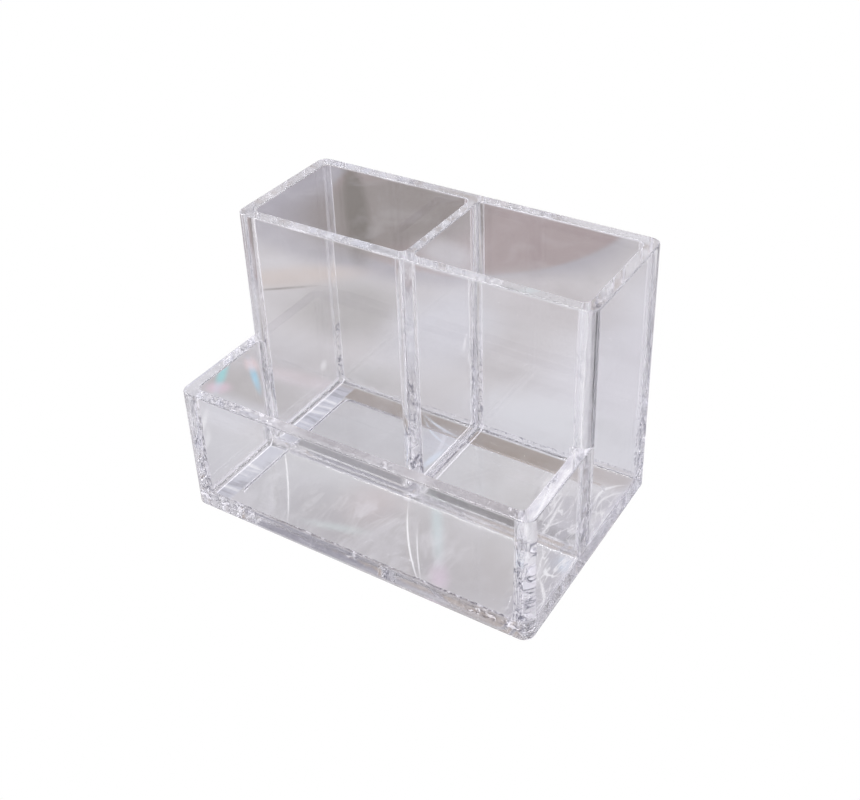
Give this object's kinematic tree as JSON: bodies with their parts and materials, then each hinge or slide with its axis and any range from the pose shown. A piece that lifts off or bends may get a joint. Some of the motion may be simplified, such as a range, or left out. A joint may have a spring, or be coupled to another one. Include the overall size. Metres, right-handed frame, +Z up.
{
  "type": "clear brush holder",
  "caption": "Clear stepped brush holder with tall open cups at the back and a low open tray across the front, made of polished sheets bonded edge to face.",
  "frame": {"origin": "centre of the underside, on the surface that the holder stands on", "axes": "+Z up, +X to the right of someone facing the tray, -Y out of the front of the tray"},
  "size_m": [0.12, 0.08, 0.088],
  "materials": {
    "clear_sheet": "polished, water-clear",
    "clear_cement": "clear cured cement"
  },
  "bodies": {
    "root": {"base_plate": "clear_sheet", "left_side_panel": "clear_sheet", "right_side_panel": "clear_sheet", "tray_front_panel": "clear_sheet", "cup_front_panel": "clear_sheet", "back_panel": "clear_sheet", "cup_divider": "clear_sheet", "left_cup_cement_fillet": "clear_cement", "right_cup_cement_fillet": "clear_cement", "tray_cement_fillet": "clear_cement"}
  },
  "joints": []
}
